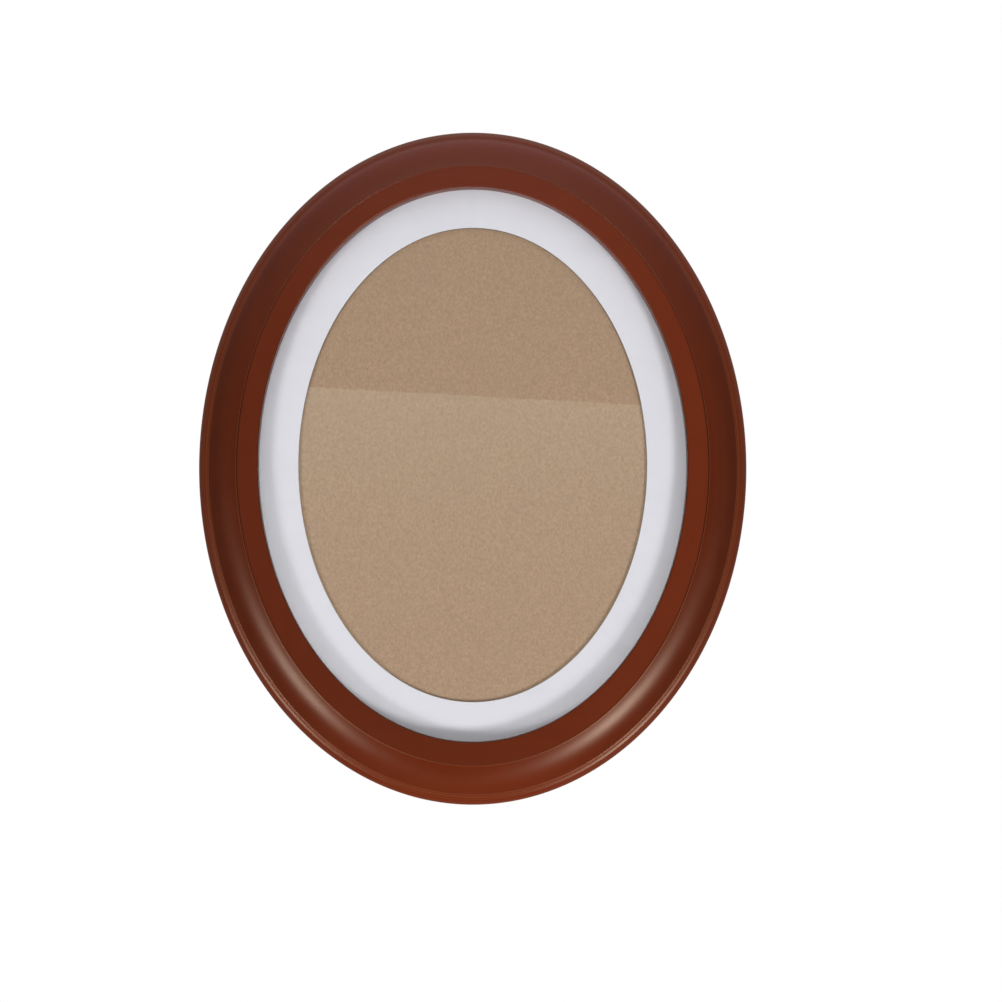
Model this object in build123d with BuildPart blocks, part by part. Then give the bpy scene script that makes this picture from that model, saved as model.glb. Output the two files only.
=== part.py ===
"""Oval wooden picture frame with glass, mat, backing board and hanging hardware. Sizes in millimetres.

The frame hangs on a wall nail. +Z is up, +Y points into the wall, and the picture faces -Y.
The origin is the hanging point: on the wall plane, at the top inside the hanger ring, over the nail.
"""

import os
from math import cos, pi, radians, sin, tan

from build123d import *

# Outline of the wooden ring
frame_width = 255.0
frame_height = 315.0

# Moulding section: insets run inwards from the outline, drops run backwards from the crown
side_drop = 5.5
roundover_run = 2.4
roundover_drop = 3.3
roundover_tilt = 35.0
crest_inset = 4.6
crest_drop = 2.5
cove_hollow = 1.4
crown_inset = 17.5
step_run = 0.3
step_drop = 0.5
face_width = 27.4
sight_ease = 0.5
sight_lip = 6.4
rabbet_width = 5.0
back_ease = 0.8

# What lies in the rabbet
glass_thickness = 2.0
mat_thickness = 1.5
board_thickness = 5.0
board_recess = 0.3
pane_gap = 0.8
glass_seam = 0.2
mat_reveal = 18.6
mat_opening_rise = 0.5

# Glued joints
spline_length = 16.0
spline_width = 10.0
spline_thickness = 3.0
spline_inset = 11.0
spline_height = 6.0
glue_gap = 0.1

# Wood screws
screw_shank_radius = 1.25
screw_length = 10.0
screw_tip = 2.0
screw_head_radius = 2.6
screw_head_height = 1.6
screw_head_rim = 0.5
screw_head_flat = 0.9
recess_width = 0.7
recess_length = 3.0
recess_depth = 0.9
pilot_gap = 0.05
pilot_extra = 0.6

# Turn buttons
button_thickness = 1.2
button_hub_radius = 5.5
button_tip_radius = 3.0
button_reach = 11.5
button_inset = 15.5
button_bore_gap = 0.08
button_ease = 0.25

# Hanger
plate_length = 30.0
plate_width = 8.0
plate_thickness = 0.7
plate_corner = 2.5
plate_inset = 17.2
plate_screw_spacing = 22.0
plate_hole_gap = 0.15
eye_width = 6.0
eye_gap = 0.15
ring_wire_radius = 0.7
ring_width = 13.4
ring_leg = 4.0
ring_corner = 1.6

# Wall bumpers
bumper_radius = 5.0
bumper_height = 3.5
bumper_ease = 0.8
bumper_inset = 12.5

# Places around the oval, as shares of a full turn of the outline's parameter angle, from +X towards +Z
joint_shares = {"upper_right": 1 / 8, "upper_left": 3 / 8, "lower_left": 5 / 8, "lower_right": 7 / 8}
button_shares = {
    "right": 0.0,
    "upper_right": 1 / 6,
    "upper_left": 2 / 6,
    "left": 3 / 6,
    "lower_left": 4 / 6,
    "lower_right": 5 / 6,
}
bumper_shares = {"left": 0.589, "right": 0.911}

# Each ring segment, and the glued joints where it starts and ends
segment_joints = {
    "top": ("upper_right", "upper_left"),
    "left": ("upper_left", "lower_left"),
    "bottom": ("lower_left", "lower_right"),
    "right": ("lower_right", "upper_right"),
}

# Sizes that follow from the ones above
half_width = frame_width / 2
half_height = frame_height / 2
stack_depth = glass_thickness + mat_thickness + board_thickness + board_recess
moulding_depth = step_drop + sight_lip + stack_depth
rabbet_inset = face_width - rabbet_width
pane_half_width = half_width - rabbet_inset - pane_gap
pane_half_height = half_height - rabbet_inset - pane_gap
mat_opening_inset = face_width + mat_reveal
ring_axis_height = half_height - plate_inset
ring_axis_lift = plate_thickness + eye_gap + ring_wire_radius
nail_height = ring_axis_height + ring_leg + ring_width / 2 - ring_wire_radius


def facing(height):
    """Plane parallel to the wall, this far in front of the wood's back, with x to the right and y up."""
    return Plane(
        origin=(0, -bumper_height - height, -nail_height),
        x_dir=(1, 0, 0),
        z_dir=(0, -1, 0),
    )


def square_to(share):
    """Plane square to the moulding at a share of the turn: x inwards, y forwards, z along the ring."""
    turn = 2 * pi * share
    at = facing(0).from_local_coords((half_width * cos(turn), half_height * sin(turn), 0))
    along = Vector(-half_width * sin(turn), 0, half_height * cos(turn)).normalized()
    return Plane(origin=at, x_dir=Vector(0, -1, 0).cross(along), z_dir=along)


def back_seat(share, inset):
    """Plane on the wood's back, this far inside the outline: x inwards, z to the wall."""
    section = square_to(share)
    at = section.from_local_coords((inset, 0, 0))
    return Plane(origin=at, x_dir=section.x_dir, z_dir=(0, 1, 0))


def span_share(first, last):
    """Share of the turn from one glued joint on to the next."""
    return (joint_shares[last] - joint_shares[first]) % 1


os.makedirs("parts", exist_ok=True)

button_seats = {name: back_seat(share, button_inset) for name, share in button_shares.items()}
plate_seat = Plane(
    origin=facing(0).from_local_coords((0, ring_axis_height, 0)), x_dir=(-1, 0, 0), z_dir=(0, 1, 0)
)
hanger_seats = [
    Plane(
        origin=plate_seat.from_local_coords((side * plate_screw_spacing / 2, 0, 0)),
        x_dir=plate_seat.x_dir,
        z_dir=plate_seat.z_dir,
    )
    for side in (-1, 1)
]

# Ring segments: the moulding section carried along the outline from one glued joint to the next
crown = (crown_inset, moulding_depth)
crest = (crest_inset, moulding_depth - crest_drop)
roundover_start = (0, moulding_depth - side_drop)
roundover_end = (roundover_run, moulding_depth - roundover_drop)
roundover_turn = (0, moulding_depth - roundover_drop - roundover_run * tan(radians(roundover_tilt)))
band_height = moulding_depth - step_drop
for side, (first, last) in segment_joints.items():
    with BuildPart() as segment:
        with BuildLine(facing(0)) as outline:
            EllipticalCenterArc(
                (0, 0),
                half_width,
                half_height,
                start_angle=360 * joint_shares[first],
                arc_size=360 * span_share(first, last),
            )
        with BuildSketch(square_to(joint_shares[first])):
            with BuildLine():
                Polyline((back_ease, 0), (0, back_ease), roundover_start)
                Bezier(roundover_start, roundover_turn, roundover_end)
                Line(roundover_end, crest)
                SagittaArc(crest, crown, -cove_hollow)
                Polyline(
                    crown,
                    (crown_inset + step_run, band_height),
                    (face_width - sight_ease, band_height),
                    (face_width, band_height - sight_ease),
                    (face_width, stack_depth),
                    (rabbet_inset, stack_depth),
                    (rabbet_inset, 0),
                    (back_ease, 0),
                )
            make_face()
        sweep(path=outline.wires()[0])
        # Slot for half a spline in each end
        for joint, inwards in ((first, 1), (last, -1)):
            with BuildSketch(square_to(joint_shares[joint])):
                with Locations((spline_inset, spline_height)):
                    Rectangle(spline_width + 2 * glue_gap, spline_thickness + 2 * glue_gap)
            extrude(amount=inwards * (spline_length / 2 + glue_gap), mode=Mode.SUBTRACT)
        # Pilot holes for the screws of the turn buttons, and at the top for those of the hanger
        seats = [
            button_seats[name]
            for name, share in button_shares.items()
            if (share - joint_shares[first]) % 1 < span_share(first, last)
        ]
        if side == "top":
            seats += hanger_seats
        for seat in seats:
            with BuildSketch(seat):
                Circle(screw_shank_radius + pilot_gap)
            extrude(amount=-screw_length - pilot_extra, mode=Mode.SUBTRACT)
    segment.part.label = f"frame_{side}"
    export_step(segment.part, f"parts/frame_{side}.step")

# Splines that cross the glued joints
for name, share in joint_shares.items():
    with BuildPart() as spline:
        with BuildSketch(square_to(share)):
            with Locations((spline_inset, spline_height)):
                Rectangle(spline_width, spline_thickness)
        extrude(amount=spline_length / 2, both=True)
    spline.part.label = f"spline_{name}"
    export_step(spline.part, f"parts/spline_{name}.step")

# Glass, resting on the rabbet's ledge
with BuildPart() as glass_pane:
    with BuildSketch(facing(stack_depth - glass_thickness)):
        Ellipse(pane_half_width, pane_half_height)
    extrude(amount=glass_thickness)
    chamfer(glass_pane.edges(), glass_seam)
glass_pane.part.label = "glass_pane"
export_step(glass_pane.part, "parts/glass_pane.step")

# Mat behind the glass, its oval opening cut slightly above the middle
with BuildPart() as white_mat:
    with BuildSketch(facing(board_recess + board_thickness)):
        Ellipse(pane_half_width, pane_half_height)
        with Locations((0, mat_opening_rise)):
            Ellipse(half_width - mat_opening_inset, half_height - mat_opening_inset, mode=Mode.SUBTRACT)
    extrude(amount=mat_thickness)
white_mat.part.label = "white_mat"
export_step(white_mat.part, "parts/white_mat.step")

# Backing board behind the mat
with BuildPart() as backing_board:
    with BuildSketch(facing(board_recess)):
        Ellipse(pane_half_width, pane_half_height)
    extrude(amount=board_thickness)
backing_board.part.label = "backing_board"
export_step(backing_board.part, "parts/backing_board.step")

# One wood screw, head up along z, with the underside of its head at zero
with BuildPart() as wood_screw:
    with BuildSketch(Plane.XZ):
        with BuildLine():
            Polyline(
                (0, -screw_length),
                (screw_shank_radius, screw_tip - screw_length),
                (screw_shank_radius, 0),
                (screw_head_radius, 0),
                (screw_head_radius, screw_head_rim),
            )
            Bezier(
                (screw_head_radius, screw_head_rim),
                (screw_head_radius, screw_head_height),
                (screw_head_flat, screw_head_height),
            )
            Polyline((screw_head_flat, screw_head_height), (0, screw_head_height), (0, -screw_length))
        make_face()
    revolve(axis=Axis.Z)
    with BuildSketch(Plane.XY.offset(screw_head_height)):
        Rectangle(recess_length, recess_width)
        Rectangle(recess_width, recess_length)
    extrude(amount=-recess_depth, mode=Mode.SUBTRACT)

# Turn buttons, each lying inwards over the backing board
for name, seat in button_seats.items():
    with BuildPart() as turn_button:
        with BuildSketch(seat):
            Circle(button_hub_radius)
            with Locations((button_reach, 0)):
                Circle(button_tip_radius)
            make_hull()
            Circle(screw_shank_radius + button_bore_gap, mode=Mode.SUBTRACT)
        extrude(amount=button_thickness)
        rim = turn_button.faces().sort_by(Axis.Y)[-1].outer_wire().edges()
        chamfer(rim, button_ease)
    turn_button.part.label = f"turn_button_{name}"
    export_step(turn_button.part, f"parts/turn_button_{name}.step")

with BuildPart() as button_screws:
    with Locations(*[Location(seat.offset(button_thickness)) for seat in button_seats.values()]):
        add(wood_screw.part)
button_screws.part.label = "button_screws"
export_step(button_screws.part, "parts/button_screws.step")

# Hanger plate with the raised eye that holds the ring
with BuildPart() as hanger_plate:
    with BuildSketch(plate_seat):
        RectangleRounded(plate_length, plate_width, plate_corner)
        with GridLocations(plate_screw_spacing, 0, 2, 1):
            Circle(screw_shank_radius + plate_hole_gap, mode=Mode.SUBTRACT)
    extrude(amount=plate_thickness)
    eye_inside = ring_wire_radius + eye_gap
    eye_outside = eye_inside + plate_thickness
    eye_floor = plate_thickness - ring_axis_lift
    across = Plane(
        origin=plate_seat.from_local_coords((0, 0, ring_axis_lift)), x_dir=(0, 0, 1), z_dir=(-1, 0, 0)
    )
    with BuildSketch(across):
        with BuildLine():
            CenterArc((0, 0), eye_inside, 0, 180)
            CenterArc((0, 0), eye_outside, 0, 180)
            for leg in (-1, 1):
                Polyline(
                    (leg * eye_inside, 0),
                    (leg * eye_inside, eye_floor),
                    (leg * eye_outside, eye_floor),
                    (leg * eye_outside, 0),
                )
        make_face()
    extrude(amount=eye_width / 2, both=True)
hanger_plate.part.label = "hanger_plate"
export_step(hanger_plate.part, "parts/hanger_plate.step")

with BuildPart() as hanger_screws:
    with Locations(*[Location(seat.offset(plate_thickness)) for seat in hanger_seats]):
        add(wood_screw.part)
hanger_screws.part.label = "hanger_screws"
export_step(hanger_screws.part, "parts/hanger_screws.step")

# D-shaped ring of round wire, its straight side in the eye
with BuildPart() as hanger_ring:
    ring_plane = Plane(
        origin=plate_seat.from_local_coords((0, 0, ring_axis_lift)), x_dir=(1, 0, 0), z_dir=(0, -1, 0)
    )
    half_ring = ring_width / 2
    with BuildLine(ring_plane) as ring_line:
        Line((ring_corner - half_ring, 0), (half_ring - ring_corner, 0))
        RadiusArc((half_ring - ring_corner, 0), (half_ring, ring_corner), -ring_corner)
        Line((half_ring, ring_corner), (half_ring, ring_leg))
        CenterArc((0, ring_leg), half_ring, 0, 180)
        Line((-half_ring, ring_leg), (-half_ring, ring_corner))
        RadiusArc((-half_ring, ring_corner), (ring_corner - half_ring, 0), -ring_corner)
    with BuildSketch(Plane(origin=ring_plane.origin, x_dir=(0, 0, 1), z_dir=(1, 0, 0))):
        Circle(ring_wire_radius)
    sweep(path=ring_line.wires()[0])
hanger_ring.part.label = "hanger_ring"
export_step(hanger_ring.part, "parts/hanger_ring.step")

# Rubber bumpers on the lower back
for name, share in bumper_shares.items():
    with BuildPart() as bumper:
        with BuildSketch(back_seat(share, bumper_inset)):
            Circle(bumper_radius)
        extrude(amount=bumper_height)
        fillet(bumper.faces().sort_by(Axis.Y)[-1].edges(), bumper_ease)
    bumper.part.label = f"wall_bumper_{name}"
    export_step(bumper.part, f"parts/wall_bumper_{name}.step")
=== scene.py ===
# %% [markdown]
# # Dressing an oval picture frame
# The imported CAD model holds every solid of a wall-hung oval frame in its real place, in metres, with +Z up
# and the wall at +Y. This lesson loads it, lights it as a product photographer would, and gives each piece
# the shape and the finish of the real one: stained wood under satin lacquer, glass, a white mat,
# fibreboard, zinc-plated turn buttons, a brass-plated hanger and rubber bumpers.

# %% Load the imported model
from math import acos, pi, radians

import bmesh
import bpy
import numpy as np
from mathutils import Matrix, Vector
from mathutils.geometry import tessellate_polygon


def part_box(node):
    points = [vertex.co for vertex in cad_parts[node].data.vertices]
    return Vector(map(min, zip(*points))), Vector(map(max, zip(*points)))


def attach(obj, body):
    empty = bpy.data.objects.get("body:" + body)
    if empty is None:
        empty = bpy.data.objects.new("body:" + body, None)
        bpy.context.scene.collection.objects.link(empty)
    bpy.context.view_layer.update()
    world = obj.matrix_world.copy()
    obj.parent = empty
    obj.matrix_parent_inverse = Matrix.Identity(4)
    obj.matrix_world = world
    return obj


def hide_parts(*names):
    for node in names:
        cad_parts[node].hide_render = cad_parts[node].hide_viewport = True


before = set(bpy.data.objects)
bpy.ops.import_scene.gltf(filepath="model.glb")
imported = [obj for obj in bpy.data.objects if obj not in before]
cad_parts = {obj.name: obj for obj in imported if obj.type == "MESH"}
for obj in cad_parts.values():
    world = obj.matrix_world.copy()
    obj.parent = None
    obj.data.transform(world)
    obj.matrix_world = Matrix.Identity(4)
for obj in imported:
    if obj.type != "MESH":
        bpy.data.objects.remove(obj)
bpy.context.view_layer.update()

print("pieces in the model:", len(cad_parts))

# %% [markdown]
# ## Where things are
# A frame is made from its outline inwards, so the few sizes that every piece shares are named first. They
# could be measured from the model's boxes, but named values are easier to read beside the drawings of a
# workshop.

# %% Name the shared sizes
MM = 0.001
HALF_WIDTH = 127.5 * MM
HALF_HEIGHT = 157.5 * MM
CENTRE_HEIGHT = -150.3 * MM  # the oval's centre, below the nail that the frame hangs on
BACK = -3.5 * MM  # the wood's back, which the bumpers hold off the wall
WOOD_DEPTH = 15.7 * MM
BOARD_FRONT = 5.3 * MM  # heights above the wood's back
MAT_FRONT = 6.8 * MM
CORNERS = ("upper_right", "upper_left", "lower_left", "lower_right")
JOINT_TURNS = {corner: (2 * place + 1) * pi / 4 for place, corner in enumerate(CORNERS)}
wood_low, wood_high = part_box("frame_right")
wood_depth = wood_high.y - wood_low.y
print("half width in the model, mm:", round(wood_high.x / MM, 2), "named:", round(HALF_WIDTH / MM, 2))
print("wood's depth in the model, mm:", round(wood_depth / MM, 2), "named:", round(WOOD_DEPTH / MM, 2))

# %% [markdown]
# ## Camera
# The photograph looks straight at the picture from a little below its middle, from a little under a metre.
# A lens of 70 mm gives the picture's size from there. The frame sits a little left of and above the middle
# of the picture, and a small lens shift does that without turning the camera.

# %% Set up the camera
def add(name, data):
    """A new object of this data, in the scene."""
    made = bpy.data.objects.new(name, data)
    bpy.context.scene.collection.objects.link(made)
    return made


VIEW_DISTANCE = 0.9
VIEW_RISE = radians(6.38)
LENS, SHIFT_X, SHIFT_Y = 69.82, 0.0282, -0.0400
centre = Vector((0, BACK - WOOD_DEPTH, CENTRE_HEIGHT))
view_direction = Vector((0, np.cos(VIEW_RISE), np.sin(VIEW_RISE)))
camera_data = bpy.data.cameras.new("camera")
camera = add("camera", camera_data)
camera.location = centre - VIEW_DISTANCE * view_direction
camera.rotation_euler = view_direction.to_track_quat("-Z", "Y").to_euler()
camera_data.lens = LENS
camera_data.sensor_width = 36
camera_data.shift_x = SHIFT_X
camera_data.shift_y = SHIFT_Y
camera_data.clip_start = 0.01
bpy.context.scene.camera = camera
print("camera at", [round(c, 3) for c in camera.location])

# %% [markdown]
# ## Light
# Two small soft boxes stand low in front, one to the left and a stronger one to the right, each about 49
# degrees off the straight view. They throw the lip's two shadows on the mat and put a highlight in the
# cove at each lower corner. Their size sets how soft the shadows' edges are. The rest of the light is the
# pale room's.

# %% Place the soft boxes
LAMP_DISTANCE = 2.4
LAMP_WIDTH = 0.6
LAMP_SLANT = radians(49)


def soft_box(name, turn, power):
    """A square lamp that faces the frame's middle. Its direction is slanted off the straight view, and
    turned round that view by an angle counted from the right-hand side up."""
    data = bpy.data.lights.new(name, "AREA")
    data.shape = "SQUARE"
    data.size = LAMP_WIDTH
    data.energy = power
    lamp = add(name, data)
    aside = np.sin(LAMP_SLANT)
    direction = Vector((aside * np.cos(turn), -np.cos(LAMP_SLANT), aside * np.sin(turn)))
    lamp.location = centre + LAMP_DISTANCE * direction
    lamp.rotation_euler = (-direction).to_track_quat("-Z", "Y").to_euler()
    return lamp


soft_left = soft_box("soft_box_left", radians(216.3), 19.5)
soft_right = soft_box("soft_box_right", radians(314), 28.2)
print("lamps:", soft_left.name, soft_right.name)

# %% [markdown]
# ## Shader nodes
# The room, the studio's surfaces and every finish are built from shader nodes. A few short helpers place a
# node, join its sockets, do sums with them and tell kinds of rays apart, and one opens a material.

# %% Helpers for shader nodes
def node(tree, kind, **settings):
    """A new node of this kind in the tree, with its settings."""
    made = tree.nodes.new(kind)
    for name, value in settings.items():
        setattr(made, name, value)
    return made


def link(tree, source, target):
    """Joins an output socket to an input socket."""
    tree.links.new(source, target)


def give(tree, value, target):
    """Sets an input socket to a number or a colour, or joins an output socket to it."""
    if isinstance(value, tuple):
        target.default_value = (*value, 1)
    elif isinstance(value, (int, float)):
        target.default_value = value
    else:
        link(tree, value, target)


def maths(tree, operation, *values, clamp=False):
    """A Math node's output. Each value is a number or a socket."""
    made = node(tree, "ShaderNodeMath", operation=operation, use_clamp=clamp)
    for place, value in enumerate(values):
        give(tree, value, made.inputs[place])
    return made.outputs[0]


def times(tree, *values, clamp=False):
    """Two values multiplied, and a third added if there is one."""
    return maths(tree, "MULTIPLY_ADD" if len(values) == 3 else "MULTIPLY", *values, clamp=clamp)


def between(tree, share, first, second):
    """The first value plus a share of the way to the second."""
    return times(tree, share, maths(tree, "SUBTRACT", second, first), first)


def rays(tree, *kinds):
    """1 for rays of any of these kinds, and 0 for the others."""
    path, seen = node(tree, "ShaderNodeLightPath"), 0.0
    for kind in kinds:
        seen = maths(tree, "MAXIMUM", seen, path.outputs[f"Is {kind} Ray"])
    return seen


def open_material(name, turn=(0, 0, 0), **fixed):
    """A new material, its tree, its Principled shader and the object's coordinates, turned by these
    angles."""
    made = bpy.data.materials.new(name)
    made.use_nodes = True
    tree = made.node_tree
    shader = tree.nodes["Principled BSDF"]
    for socket, value in fixed.items():
        shader.inputs[socket.replace("_", " ")].default_value = value
    coordinates = node(tree, "ShaderNodeTexCoord")
    mapping = node(tree, "ShaderNodeMapping")
    mapping.inputs["Rotation"].default_value = turn
    link(tree, coordinates.outputs["Object"], mapping.inputs["Vector"])
    return made, tree, shader, mapping.outputs[0]


# %% [markdown]
# ## The room
# The room is a world shader. What the camera sees of it is white. Glossy rays see the same white behind
# the frame, a dim room in front of it and a pale ceiling, so the lacquer and the glass stay deep.
# Everything else gets soft light that is stronger from above than from below and the sides, and also
# reaches the frame's back.

# %% Make the room
AMBIENT = 0.472
FROM_ABOVE = 0.9  # share by which the soft light grows upwards and falls downwards
FROM_AHEAD, LESS_ASIDE = 1.34, -0.75  # its share straight ahead, and what it loses to the two sides
FROM_BEHIND = 0.45
DIM_ROOM = 0.03
CEILING, CEILING_EDGE = 0.45, 1.6  # the mirrored ceiling, and the power of the height by which it brightens
world = bpy.data.worlds.new("pale room")
bpy.context.scene.world = world
world.use_nodes = True
tree = world.node_tree
tree.nodes.clear()
split = node(tree, "ShaderNodeSeparateXYZ")
link(tree, node(tree, "ShaderNodeTexCoord").outputs["Generated"], split.inputs[0])
sideways, backwards, upwards = split.outputs
behind = times(tree, backwards, 6.0, 0.5, clamp=True)
overhead = maths(tree, "POWER", maths(tree, "MAXIMUM", upwards, 0.0), CEILING_EDGE)
mirrored = between(tree, behind, times(tree, overhead, CEILING, DIM_ROOM), 1.0)
soft = maths(tree, "MAXIMUM", times(tree, upwards, AMBIENT * FROM_ABOVE, AMBIENT), 0.0)
soft = times(tree, soft, times(tree, maths(tree, "ABSOLUTE", sideways), LESS_ASIDE, FROM_AHEAD))
soft = times(tree, times(tree, backwards, 2.5, clamp=True), FROM_BEHIND, soft)
lit = between(tree, rays(tree, "Glossy", "Transmission"), soft, mirrored)
level = between(tree, rays(tree, "Camera"), lit, 1.0)
background = node(tree, "ShaderNodeBackground")
background.inputs["Color"].default_value = (1, 1, 1, 1)
link(tree, level, background.inputs["Strength"])
link(tree, background.outputs[0], node(tree, "ShaderNodeOutputWorld").inputs[0])
bpy.context.scene.view_settings.view_transform = "Standard"
print("world nodes:", len(tree.nodes))

# %% [markdown]
# The floor is a pale disc well below the frame, which hangs at eye height, and ends a little in front of
# the wall. It is made bright enough for the camera to meet the white room, and keeps the frame's shadow.

# %% Make the floor
def studio_sheet(name, points, **fixed):
    """A sheet with one face, and its material's tree and shader."""
    mesh = bpy.data.meshes.new(name)
    mesh.from_pydata([tuple(p) for p in points], [], [list(range(len(points)))])
    sheet = add(name, mesh)
    paint, tree, shader, _ = open_material("pale " + name, **fixed)
    mesh.materials.append(paint)
    return sheet, tree, shader


FLOOR_HEIGHT = -1.45
FLOOR_RADIUS = 1.3
FLOOR_MIDDLE = 1.25
FLOOR_GLOW = 0.6
turns = np.linspace(0, 2 * pi, 96, endpoint=False)
middle = [0, FLOOR_MIDDLE, FLOOR_HEIGHT]
rim = FLOOR_RADIUS * np.stack([np.cos(turns), np.sin(turns), 0 * turns], -1) + middle
settings = {"Base_Color": (0.86, 0.86, 0.86, 1), "Roughness": 0.9, "Emission_Color": (1, 1, 1, 1)}
floor, tree, shader = studio_sheet("floor", rim, **settings)
seen = rays(tree, "Camera", "Glossy", "Transmission")
link(tree, times(tree, seen, FLOOR_GLOW), shader.inputs["Emission Strength"])
print(floor.name, "at", FLOOR_HEIGHT)

# %% [markdown]
# A pale board leans somewhere behind the camera, and the glass mirrors it: that is the faint veil over the
# lower part of the picture, with a straight, slightly slanted upper edge. Here it is a plain card,
# brighter towards its upper edge, that only rays out of the glass can see, so the lacquer stays deep.

# %% Place the card that the glass mirrors
CARD_AWAY = 1.5  # in front of the moulding
CARD_CORNERS = [(-0.26, 0.266), (0.26, 0.237), (0.26, -0.20), (-0.26, -0.20)]  # from the oval's centre
GLOW_FOOT, GLOW_REACH = CENTRE_HEIGHT - 0.20, 0.45  # where its glow starts to rise, and over what height
GLOW_LEAST, GLOW_GAIN, GLOW_POWER = 0.12, 1.3, 2.2
card_points = [(x, centre.y - CARD_AWAY, CENTRE_HEIGHT + z) for x, z in CARD_CORNERS]
settings = {"Base_Color": (0, 0, 0, 1), "Roughness": 1.0, "Emission_Color": (0.95, 1.0, 0.88, 1)}
card, tree, shader = studio_sheet("card", card_points, **settings)
for ray in ("camera", "diffuse", "shadow", "glossy"):
    setattr(card, f"visible_{ray}", False)
split = node(tree, "ShaderNodeSeparateXYZ")
link(tree, node(tree, "ShaderNodeTexCoord").outputs["Object"], split.inputs[0])
rise = times(tree, split.outputs["Z"], 1 / GLOW_REACH, -GLOW_FOOT / GLOW_REACH, clamp=True)
brighter = times(tree, maths(tree, "POWER", rise, GLOW_POWER), GLOW_GAIN, GLOW_LEAST)
link(tree, brighter, shader.inputs["Emission Strength"])
print("card at", round(centre.y - CARD_AWAY, 2))

# %% [markdown]
# ## From arrays to meshes
# Every new piece is a few grids of points worked out by numpy, most of them from unit vectors at many
# angles. Three helpers list the faces: quads between neighbouring grid points, triangles round a pole, and
# triangles that fill a flat space. Another makes the mesh from them, points its faces outwards, marks its
# sharp edges, hides the solids that it stands for and hangs it on its body.

# %% Helpers for grids and meshes
def unit(angle):
    """Unit vectors at these angles: pairs of the cosine and the sine."""
    return np.stack([np.cos(angle), np.sin(angle)], -1)


def grid_faces(rows, columns, first=0, rows_close=False, columns_close=False):
    """Quads between neighbouring points of a grid, numbered row by row from first.
    A grid that closes has one more strip, from its last row or column back to its first."""
    row = np.arange(rows if rows_close else rows - 1)
    column = np.arange(columns if columns_close else columns - 1)
    row, column = np.meshgrid(row, column, indexing="ij")
    next_row, next_column = (row + 1) % rows, (column + 1) % columns
    corners = [
        row * columns + column,
        row * columns + next_column,
        next_row * columns + next_column,
        next_row * columns + column,
    ]
    return (first + np.stack(corners, -1).reshape(-1, 4)).tolist()


def fan_faces(first, count, pole):
    """Triangles between a closed row of points, numbered from first, and one pole."""
    ring = np.arange(count)
    return np.stack([first + ring, first + (ring + 1) % count, np.full(count, pole)], -1).tolist()


def filled(loops, numbers):
    """Triangles that fill the space between flat loops, whose points have these numbers."""
    triangles = tessellate_polygon([[Vector((*p, 0)) for p in loop] for loop in loops])
    return [[numbers[corner] for corner in triangle] for triangle in triangles]


def make_piece(name, points, faces, body, stands_for, marks=None, sharp=32):
    """A piece from its points and faces, that rides on a body and stands for CAD nodes.
    marks are named values at the points, which materials read."""
    mesh = bpy.data.meshes.new(name)
    mesh.from_pydata(np.asarray(points).tolist(), [], faces)
    for mark, values in (marks or {}).items():
        mesh.attributes.new(mark, "FLOAT", "POINT").data.foreach_set("value", np.asarray(values, np.float32))
    face_out(mesh)
    mesh.polygons.foreach_set("use_smooth", np.ones(len(mesh.polygons), bool))
    mesh.set_sharp_from_angle(angle=radians(sharp))
    mesh.update()
    piece = add(name, mesh)
    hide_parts(*stands_for)
    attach(piece, body)
    print(name, "has", len(mesh.vertices), "points and", len(mesh.polygons), "faces")
    return piece


def face_out(mesh):
    """Turns the faces of a closed mesh outwards."""
    work = bmesh.new()
    work.from_mesh(mesh)
    bmesh.ops.recalc_face_normals(work, faces=work.faces)
    work.to_mesh(mesh)
    work.free()


print("faces of a closed grid of 3 by 4 points:", len(grid_faces(3, 4, rows_close=True, columns_close=True)))

# %% [markdown]
# ## The moulding's section
# A wood moulding gets its shape from a cutter: here a rounded outer edge, a narrow lip that ends in a
# crisp crest, a wide cove, a second crisp edge with a small step, a flat band, and the lip over the glass.
# Sandpaper and lacquer then soften each corner by a tenth of a millimetre or two, and it is that softening
# that catches the light as a thin bright line. So the section is drawn as runs between corners, and each
# corner is eased.

# %% Helpers for runs and eased corners
def straight(start, end):
    """The two ends of a straight run."""
    return np.array([start, end])


def hollow(start, end, first_tilt, last_tilt, count):
    """A cove from start to end. Its tilt grows with the square root of the way across, so it turns quickly
    beside the crest and slowly towards the crown. Its height is the running sum of the tilt's tangents,
    and a small even slope is added so that it reaches its end."""
    share = np.linspace(0, 1, count) ** 2
    across = (end[0] - start[0]) * share
    slope = np.tan(radians(first_tilt) + radians(last_tilt - first_tilt) * np.sqrt(share))
    rise = np.concatenate([[0], np.cumsum(np.diff(across) * (slope[1:] + slope[:-1]) / 2)])
    rise += share * (end[1] - start[1] - rise[-1])
    return np.stack([start[0] + across, start[1] + rise], -1)


def bend(start, corner, end, count):
    """A quadratic curve that leaves start towards the corner and reaches end from it."""
    share = np.linspace(0, 1, count)[:, None]
    return (1 - share) ** 2 * start + 2 * share * (1 - share) * corner + share**2 * end


def distances(run):
    """How far along the run each of its points lies."""
    return np.concatenate([[0], np.cumsum(np.hypot(*np.diff(run, axis=0).T))])


def along_run(run, distance):
    """The point this far along the run."""
    return np.array([np.interp(distance, distances(run), run[:, axis]) for axis in (0, 1)])


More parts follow.
